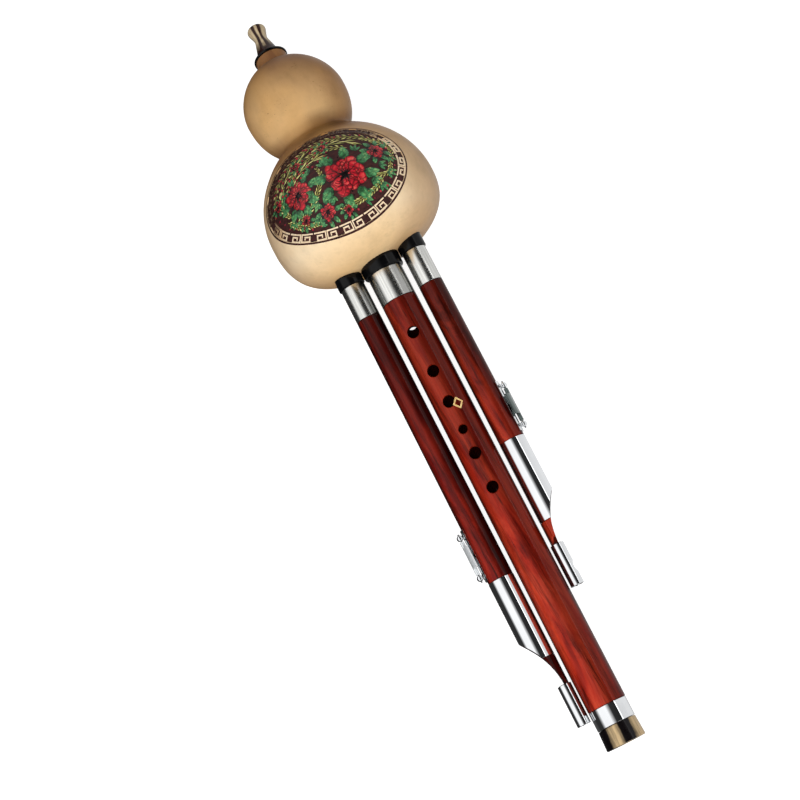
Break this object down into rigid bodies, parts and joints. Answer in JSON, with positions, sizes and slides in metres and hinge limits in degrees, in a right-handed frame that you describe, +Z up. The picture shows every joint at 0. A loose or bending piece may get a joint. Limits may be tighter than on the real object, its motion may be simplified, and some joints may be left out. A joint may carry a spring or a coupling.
{
  "type": "gourd flute",
  "caption": "Gourd flute: a painted double-bulb gourd wind chest with a horn mouthpiece, a fingered wooden melody pipe and keyed drone pipes.",
  "frame": {"origin": "on the ground plane under the middle of the instrument as it lies on its back", "axes": "+Y from the foot of the pipes to the mouthpiece, +X towards the drone whose end is nearer the gourd, +Z up, out of the side with the finger holes"},
  "size_m": [0.0968, 0.4438, 0.0966],
  "materials": {
    "gourd_skin": "satin dried gourd skin with a floral band painting",
    "horn": "polished cream and brown horn",
    "dark_horn": "polished black and cream horn",
    "black_lacquer": "gloss black lacquer",
    "red_wood": "clear-lacquered red rosewood",
    "brushed_nickel": "brushed nickel silver",
    "chrome": "mirror plated",
    "spring_steel": "plain steel",
    "reed_brass": "thin rolled reed brass",
    "cork": "cork",
    "reed_tube_wood": "plain turned wood",
    "pad_leather": "soft pad leather"
  },
  "bodies": {
    "gourd": {"gourd_shell": "gourd_skin", "mouthpiece": "horn", "mouthpiece_collar": "black_lacquer", "main_socket": "black_lacquer", "left_drone_socket": "black_lacquer", "right_drone_socket": "black_lacquer"},
    "main_joint": {"main_seal": "cork"},
    "melody_pipe": {"main_pipe": "red_wood", "main_foot_cap": "dark_horn", "main_foot_ring": "chrome", "main_sleeve": "brushed_nickel", "main_reed_tube": "reed_tube_wood", "main_reed": "reed_brass"},
    "left_joint": {"left_seal": "cork"},
    "right_joint": {"right_seal": "cork"},
    "left_drone": {"left_drone_pipe": "red_wood", "left_top_sleeve": "brushed_nickel", "left_reed_tube": "reed_tube_wood", "left_reed": "reed_brass", "left_lower_sleeve": "chrome", "left_tail": "red_wood", "left_tail_tube": "chrome", "left_key_base": "chrome", "left_key_rod": "spring_steel", "left_key_screw_1": "spring_steel", "left_key_screw_2": "spring_steel"},
    "right_drone": {"right_drone_pipe": "red_wood", "right_top_sleeve": "brushed_nickel", "right_reed_tube": "reed_tube_wood", "right_reed": "reed_brass", "right_lower_sleeve": "chrome", "right_tail": "red_wood", "right_tail_tube": "chrome", "right_key_base": "chrome", "right_key_rod": "spring_steel", "right_key_screw_1": "spring_steel", "right_key_screw_2": "spring_steel"},
    "left_key": {"left_key_lever": "chrome", "left_key_pad": "pad_leather", "left_key_spring": "spring_steel"},
    "right_key": {"right_key_lever": "chrome", "right_key_pad": "pad_leather", "right_key_spring": "spring_steel"}
  },
  "joints": [
    {"name": "main_turn", "type": "hinge", "parent": "gourd", "child": "main_joint", "pos_m": [0, 0.06238, 0.04433], "axis": [0, 0.9931, 0.1174], "continuous": true},
    {"name": "main_draw", "type": "slide", "parent": "main_joint", "child": "melody_pipe", "axis": [0, -0.9931, -0.1174], "range_m": [0, 0.008]},
    {"name": "left_turn", "type": "hinge", "parent": "gourd", "child": "left_joint", "pos_m": [-0.0191, 0.06238, 0.04433], "axis": [0, 0.9931, 0.1174], "range_deg": [-45, 90]},
    {"name": "left_draw", "type": "slide", "parent": "left_joint", "child": "left_drone", "axis": [0, -0.9931, -0.1174], "range_m": [0, 0.008]},
    {"name": "left_key_hinge", "type": "hinge", "parent": "left_drone", "child": "left_key", "pos_m": [-0.0286, -0.10192, 0.02491], "axis": [0, 0.9931, 0.1174], "range_deg": [0, 10], "stiffness_Nm_per_rad": 0.008, "springref_deg": -22.92},
    {"name": "right_turn", "type": "hinge", "parent": "gourd", "child": "right_joint", "pos_m": [0.0191, 0.06536, 0.04468], "axis": [0, 0.9931, 0.1174], "range_deg": [-90, 45]},
    {"name": "right_draw", "type": "slide", "parent": "right_joint", "child": "right_drone", "axis": [0, -0.9931, -0.1174], "range_m": [0, 0.008]},
    {"name": "right_key_hinge", "type": "hinge", "parent": "right_drone", "child": "right_key", "pos_m": [0.0286, -0.04005, 0.03222], "axis": [0, -0.9931, -0.1174], "range_deg": [0, 10], "stiffness_Nm_per_rad": 0.008, "springref_deg": -22.92}
  ]
}
